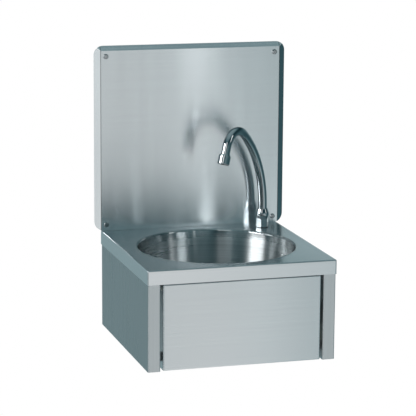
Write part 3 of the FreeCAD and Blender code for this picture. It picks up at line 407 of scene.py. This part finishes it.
def hose_line():
    """Points of the smooth line that the hose follows."""
    curve = bpy.data.curves.new("hose_route", "CURVE")
    curve.dimensions = "3D"
    curve.resolution_u = HOSE_STEPS
    spline = curve.splines.new("NURBS")
    spline.points.add(len(HOSE_POINTS) - 1)
    for point, place in zip(spline.points, HOSE_POINTS):
        point.co = (*place, 1.0)
    spline.order_u = 3
    spline.use_endpoint_u = True
    holder = bpy.data.objects.new("hose_route", curve)
    bpy.context.scene.collection.objects.link(holder)
    bpy.context.view_layer.update()
    held = holder.evaluated_get(bpy.context.evaluated_depsgraph_get())
    line = bpy.data.meshes.new_from_object(held)
    points = [v.co.copy() for v in line.vertices]
    bpy.data.objects.remove(holder)
    bpy.data.curves.remove(curve)
    bpy.data.meshes.remove(line)
    return points


def frames_along(points):
    """Distance, place and two directions across the line, which don't twist, at each point, with
    the direction along it before them."""
    across = Vector((0.0, 0.0, 1.0))
    distance, rows = 0.0, []
    for k, point in enumerate(points):
        along = (points[min(k + 1, len(points) - 1)] - points[max(k - 1, 0)]).normalized()
        across = (across - along * across.dot(along)).normalized()
        distance += (point - points[k - 1]).length if k else 0.0
        rows.append((distance, point, along, across, along.cross(across)))
    return rows


def braided_hose():
    line = hose_line()
    rows = frames_along(line)
    middle = HOSE_RADIUS - WIRE_HIGH - WEAVE

    def wire(sign, band, beside):
        rings = []
        for distance, point, along, across, other in rows:
            turn = distance / middle
            angle = sign * turn + math.tau * band / BANDS
            lift = sign * WEAVE * math.cos(sign * BANDS * turn / 2 + math.pi * band + math.pi / 4)
            out = across * math.cos(angle) + other * math.sin(angle)
            onward = other * math.cos(angle) - across * math.sin(angle)
            aside = (onward - along * sign).normalized()
            heart = point + out * (middle + lift) + aside * (beside * WIRE_APART * WIRE_WIDE)
            rings.append([heart + out * WIRE_HIGH, heart + aside * WIRE_WIDE,
                          heart - out * WIRE_HIGH, heart - aside * WIRE_WIDE])
        return rings

    core = [ring(point, across, other, CORE_RADIUS, CORE_SIDES)
            for _, point, _, across, other in rows]
    lining = lofted("hose_core", [core], black_rubber, "basin")
    wires = [wire(sign, band, beside)
             for sign in (1, -1) for band in range(BANDS) for beside in WIRES]
    braid = lofted("hose_braid", wires, hose_wire, "basin")
    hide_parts("supply_hose")


braided_hose()


# ---------------------------------------------------------------- return spring of the valve
SPRING_WIRE = 0.0006         # radius of the wire
SPRING_TURNS = 6             # the first and the last lie closed
CLOSED_RISE = 0.00125        # of a closed turn
SPRING_STEPS = 36            # to a turn
SPRING_SIDES = 10            # of the wire


def return_spring():
    """Coil spring with closed ends, built at the length of the solid it replaces. Nothing here makes
    it shorten as the button goes in.
    """
    low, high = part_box("valve_spring")
    centre = (low + high) / 2
    radius = centre.x - low.x - SPRING_WIRE
    length = high.y - low.y - 2 * SPRING_WIRE
    open_turns = SPRING_TURNS - 2
    open_rise = (length - 2 * CLOSED_RISE) / open_turns
    steps = SPRING_TURNS * SPRING_STEPS
    hearts = []
    for k in range(steps + 1):
        turn = SPRING_TURNS * k / steps
        rise = min(turn, 1.0) * CLOSED_RISE + min(max(turn - 1, 0.0), open_turns) * open_rise
        rise += max(turn - SPRING_TURNS + 1, 0.0) * CLOSED_RISE
        out = Vector((math.cos(math.tau * turn), 0.0, math.sin(math.tau * turn)))
        foot = Vector((centre.x, low.y + SPRING_WIRE + rise, centre.z))
        hearts.append((foot + out * radius, out))
    rings = []
    for k, (heart, out) in enumerate(hearts):
        along = (hearts[min(k + 1, steps)][0] - hearts[max(k - 1, 0)][0]).normalized()
        aside = along.cross(out).normalized()
        rings.append(ring(heart, out, aside, SPRING_WIRE, SPRING_SIDES))
    spring = lofted("return_spring", [rings], spring_wire, "basin")
    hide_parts("valve_spring")
    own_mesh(spring)


return_spring()


# ---------------------------------------------------------------- screw threads
TURN_STEPS = 30              # points to a turn of a ridge
FADE_STEPS = 15              # points over which a ridge runs out at its ends
SUNK = 0.0001                # how deep the foot of a ridge lies in the shank
CREST_HALF, FOOT_HALF = 0.1, 0.4             # half widths of a ridge, in pitches
SCREW_HEAD = 0.0056          # radius of the heads of the splashback's screws


def thread(name, node, body, material, axis, sizes, centre=None):
    """Ridge of a screw thread round a shank of a solid. sizes are the shank's radius, the start
    and end along its axis, the pitch and the height of the ridge."""
    radius, start, end, pitch, depth = sizes
    low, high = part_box(node)
    centre = Vector(centre) if centre else (low + high) / 2
    along = Vector((float(axis == "x"), float(axis == "y"), float(axis == "z")))
    foot = centre - along * centre.dot(along) + along * start
    across = along.orthogonal().normalized()
    other = along.cross(across)
    steps = math.ceil((end - start) / pitch * TURN_STEPS)
    rings = []
    for k in range(steps + 1):
        angle = math.tau * k / TURN_STEPS
        rise = min(1.0, k / FADE_STEPS, (steps - k) / FADE_STEPS)
        out = across * math.cos(angle) + other * math.sin(angle)
        heart = foot + along * (end - start) * k / steps + out * radius
        crest, root = out * (depth * rise), out * -SUNK
        rings.append([heart + crest - along * pitch * CREST_HALF,
                      heart + crest + along * pitch * CREST_HALF,
                      heart + root + along * pitch * FOOT_HALF,
                      heart + root - along * pitch * FOOT_HALF])
    lofted(name, [rings], material, body)


thread("waste_thread", "waste_body", "basin", waste_plating, "z",
       (0.02095, -0.1455, -0.1165, 0.0023, 0.0006))
for water in ("cold", "hot"):
    thread(f"{water}_thread", f"{water}_check_valve", "basin", brass, "z",
           (0.01048, -0.1535, -0.1395, 0.0018, 0.0005))
thread("spout_thread", "spout_base", "basin", chrome, "z",
       (0.00833, 0.0165, 0.044, 0.00134, 0.0004))
thread("push_thread", "push_screw", "knee_flap", screw_steel, "y",
       (0.003, -0.380, -0.3690, 0.001, 0.0002))
screw_low, screw_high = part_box("splashback_screws")
for side, x in (("left", screw_low.x + SCREW_HEAD), ("right", screw_high.x - SCREW_HEAD)):
    for end, z in (("low", screw_low.z + SCREW_HEAD), ("high", screw_high.z - SCREW_HEAD)):
        thread(f"{side}_{end}_screw_thread", "splashback_screws", "basin",
               screw_steel, "y", (0.0022, 0.0005, 0.0250, 0.0018, 0.0006), centre=(x, 0.0, z))


# ---------------------------------------------------------------- camera
# Found from the corners of the basin.
CAMERA_TURNS = (16.4568, 11.3952, 0.3887)    # heading, tilt and roll in degrees
CAMERA_PLACE = (-1.1626, -4.0800, 0.9499)
LENS, SENSOR = 170.2, 36.0                   # in millimetres


def set_camera():
    """Camera of the reference view."""
    heading, tilt, roll = (math.radians(a) for a in CAMERA_TURNS)
    ahead = Vector((math.sin(heading) * math.cos(tilt), math.cos(heading) * math.cos(tilt),
                    -math.sin(tilt)))
    level = Vector((math.cos(heading), -math.sin(heading), 0.0))
    upright = level.cross(ahead)
    right = level * math.cos(roll) + upright * math.sin(roll)
    up = upright * math.cos(roll) - level * math.sin(roll)
    camera = bpy.data.objects.new("camera", bpy.data.cameras.new("camera"))
    camera.data.sensor_width = SENSOR
    camera.data.lens = LENS
    facing = Matrix((right, up, -ahead)).transposed().to_4x4()
    camera.matrix_world = Matrix.Translation(Vector(CAMERA_PLACE)) @ facing
    camera.data.clip_end = 200.0
    bpy.context.scene.collection.objects.link(camera)
    bpy.context.scene.camera = camera


set_camera()


# ---------------------------------------------------------------- studio
FLOOR_Z = -0.80              # the deck of such a basin hangs about 0.85 m above the floor
FLOOR_REACH = 60.0
PAPER = rgba(0.80, 0.80, 0.80)
WHITE = rgba(1.0, 1.0, 1.0)
DIM, CEILING = 0.04, 0.40                    # brightness of the room's shade and of its ceiling
WALL_TOP, CEILING_FROM, HEIGHT_FADE = 0.10, 0.55, 0.35      # by the height of a direction
FRONT_LEVEL, BACK_GAIN = 0.4, 0.9            # brightness of the walls in front, and more behind
# Brightness by heading, in degrees from the front towards the left: light walls in front and on
# the left with a gap between them, a dark right side and a grey back.
ROUND_ABOUT = [(-180, 0.40), (-164, 0.44), (-150, 0.80), (-136, 0.72), (-120, 0.22), (-86, 0.13),
               (-68, 0.13), (-45, 0.45), (-22, 0.80), (-13, 1.0), (4, 0.95), (14, 0.12),
               (27, 0.12), (37, 1.0), (60, 1.0), (74, 0.45), (90, 0.32), (140, 0.32),
               (160, 0.46), (180, 0.40)]


def flat_sheet(name, corners):
    mesh = bpy.data.meshes.new(name)
    mesh.from_pydata([Vector(c) for c in corners], [], [range(len(corners))])
    sheet = bpy.data.objects.new(name, mesh)
    bpy.context.scene.collection.objects.link(sheet)
    return sheet


def round_about(finish, x, y):
    heading = (-x).math("ARCTAN2", -y)
    stops = [(degrees / 360 + 0.5, level) for degrees, level in ROUND_ABOUT]
    return finish.node("ShaderNodeValToRGB", {"stops": stops}, {0: heading / math.tau + 0.5})


def cool(finish, level):
    """Daylight colour: white where it is bright, blue green where it is dim."""
    return finish.vector(level ** 1.45, level ** 1.07, level)


def add_floor():
    """Plain white paper, clear from below. The camera sees it white, and metal sees it lit from
    the front and the left."""
    floor = flat_sheet("floor", [(x * FLOOR_REACH, y * FLOOR_REACH, FLOOR_Z)
                                 for x, y in ((-1, -1), (1, -1), (1, 1), (-1, 1))])
    finish = new_finish("floor_paper")
    x, y, _ = finish.parts_of(finish.place())
    straight, glossy = (finish.node("ShaderNodeLightPath", output=name)
                        for name in ("Is Camera Ray", "Is Glossy Ray"))
    colour = finish.mixed(straight, cool(finish, round_about(finish, x, y)), WHITE)
    paper = finish.node("ShaderNodeBsdfDiffuse", None, {"Color": PAPER})
    glow = finish.node("ShaderNodeEmission", None, {"Color": colour, "Strength": 1.0})
    seen = (straight + glossy).clamped()
    above = finish.node("ShaderNodeMixShader", None, {0: seen, 1: paper, 2: glow})
    clear = finish.node("ShaderNodeBsdfTransparent")
    under = finish.node("ShaderNodeNewGeometry", output="Backfacing")
    surface = finish.node("ShaderNodeMixShader", None, {0: under, 1: above, 2: clear})
    finish.node("ShaderNodeOutputMaterial", None, {"Surface": surface})
    floor.data.materials.append(finish.owner)


def add_softbox(name, place, target, width, height, power):
    lamp = bpy.data.lights.new(name, "AREA")
    lamp.shape = "RECTANGLE"
    lamp.size, lamp.size_y = width, height
    lamp.energy = power
    box = bpy.data.objects.new(name, lamp)
    box.location = place
    box.rotation_mode = "QUATERNION"
    box.rotation_quaternion = (Vector(target) - Vector(place)).to_track_quat("-Z", "Y")
    bpy.context.scene.collection.objects.link(box)


def set_room():
    """Dim cool room. The camera sees it white, as a cut-out product picture has it."""
    world = bpy.data.worlds.new("room")
    bpy.context.scene.world = world
    room = Finish(world)
    x, y, z = room.parts_of(room.node("ShaderNodeTexCoord", output="Generated"))
    low = (1.0 - (z - WALL_TOP) / HEIGHT_FADE).clamped()
    high = ((z - CEILING_FROM) / HEIGHT_FADE).clamped()
    behind = (y * 2.0).clamped()
    walls = round_about(room, x, y) * low * (FRONT_LEVEL + BACK_GAIN * behind)
    bright = DIM + walls + CEILING * high
    straight = room.node("ShaderNodeLightPath", output="Is Camera Ray")
    colour = room.mixed(straight, cool(room, bright), WHITE)
    light = room.node("ShaderNodeBackground", None, {"Color": colour, "Strength": 1.0})
    room.node("ShaderNodeOutputWorld", None, {"Surface": light})


add_floor()
# Place, target, width, height and power in watts.
add_softbox("left_softbox", (-2.35, -0.40, 1.15), (0.0, -0.2, 0.0), 1.1, 0.9, 40.0)
add_softbox("key_softbox", (-1.2, -2.3, 1.7), (0.0, -0.2, 0.1), 1.0, 1.0, 4.0)
add_softbox("front_strip", (0.76, -2.6, 0.5), (0.0, -0.1, 0.2), 0.10, 0.9, 0.30)
add_softbox("right_strip", (2.1, -1.45, 1.2), (0.0, -0.2, 0.0), 0.2, 1.2, 3.0)
set_room()

bpy.context.scene.view_settings.view_transform = "Standard"
